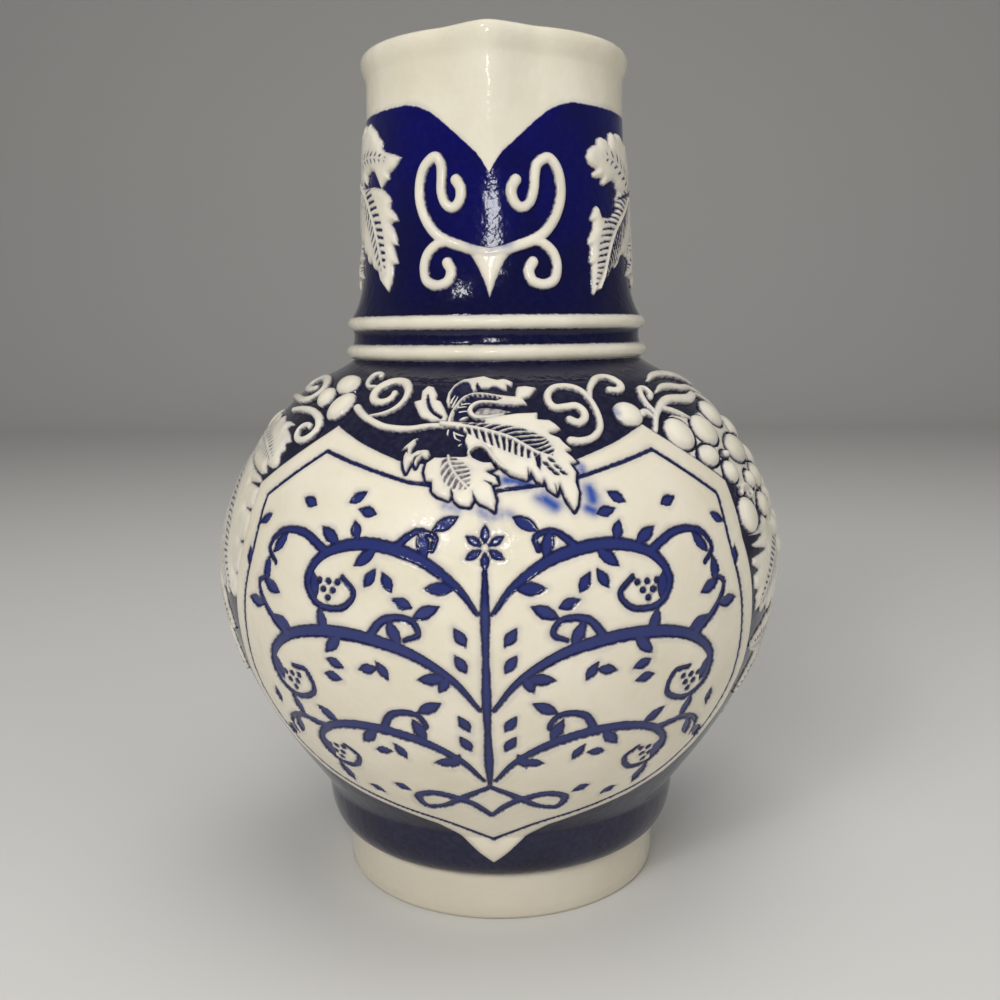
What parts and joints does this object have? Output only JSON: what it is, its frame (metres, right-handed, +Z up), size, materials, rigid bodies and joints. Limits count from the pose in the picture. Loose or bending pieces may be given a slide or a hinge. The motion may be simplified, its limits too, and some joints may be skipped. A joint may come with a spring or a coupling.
{
  "type": "wine pitcher",
  "caption": "Pot-bellied stoneware wine pitcher with a tall neck, pinched spout, strap handle and applied vine and shield reliefs.",
  "frame": {"origin": "Centre of the foot's flat underside, on the axis of the body.", "axes": "+Z up the body's axis to the mouth, -Y forwards to the spout and the shield, +Y back to the handle."},
  "size_m": [0.151, 0.1642, 0.2162],
  "materials": {
    "cobalt_glaze": "cobalt wash under glossy salt glaze, cream where the wash is left off",
    "cream_glaze": "cream stoneware under glossy salt glaze, cobalt run into its hollows"
  },
  "bodies": {
    "root": {"vessel": "cobalt_glaze", "handle": "cobalt_glaze", "neck_scroll": "cream_glaze", "neck_leaf_right": "cream_glaze", "neck_leaf_left": "cream_glaze", "front_vine_spray": "cream_glaze", "shield_panel": "cream_glaze", "front_tendril": "cream_glaze", "left_tendril": "cream_glaze", "left_upper_tendril": "cream_glaze", "small_left_tendril": "cream_glaze", "right_tendril": "cream_glaze", "front_grape": "cream_glaze", "left_grape_low": "cream_glaze", "left_grape_top": "cream_glaze", "left_grape_outer": "cream_glaze", "right_low_grape": "cream_glaze", "right_grape_bunch": "cream_glaze", "left_grape_bunch": "cream_glaze", "left_leaf": "cream_glaze", "left_low_leaf": "cream_glaze", "right_leaf": "cream_glaze", "right_low_leaf": "cream_glaze", "back_leaf_right": "cream_glaze", "back_leaf_left": "cream_glaze"}
  },
  "joints": []
}
